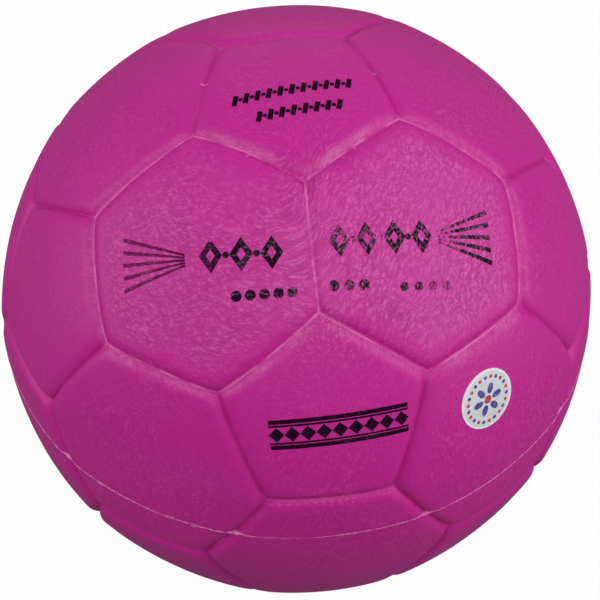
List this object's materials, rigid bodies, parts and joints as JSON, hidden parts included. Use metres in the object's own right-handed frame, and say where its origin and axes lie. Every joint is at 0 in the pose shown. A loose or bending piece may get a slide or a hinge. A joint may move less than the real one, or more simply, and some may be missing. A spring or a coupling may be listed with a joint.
{
  "type": "handball",
  "caption": "Soft moulded handball: a panelled, creased outer wall bonded to a foamed lining, blown up through a needle valve that seals itself.",
  "frame": {"origin": "the ball's middle", "axes": "+Z out through the middle of the pentagon opposite the valve, so the mould's parting line lies in the XY plane; -Y towards the printed pentagon on the front; -Z out of the needle valve"},
  "size_m": [0.15, 0.1494, 0.1493],
  "materials": {
    "moulded_skin": "soft PVC with a fine moulded leather grain, magenta",
    "foamed_lining": "foamed PVC, pale pink",
    "moulded_collar": "smooth soft PVC, magenta",
    "valve_rubber": "moulded black rubber",
    "print_ink": "pad printed black ink, a little worn",
    "label_vinyl": "printed white vinyl sticker"
  },
  "bodies": {
    "root": {"outer_wall": "moulded_skin", "inner_wall": "foamed_lining", "valve_housing": "moulded_collar", "valve_core": "valve_rubber", "round_label": "label_vinyl"}
  },
  "joints": []
}
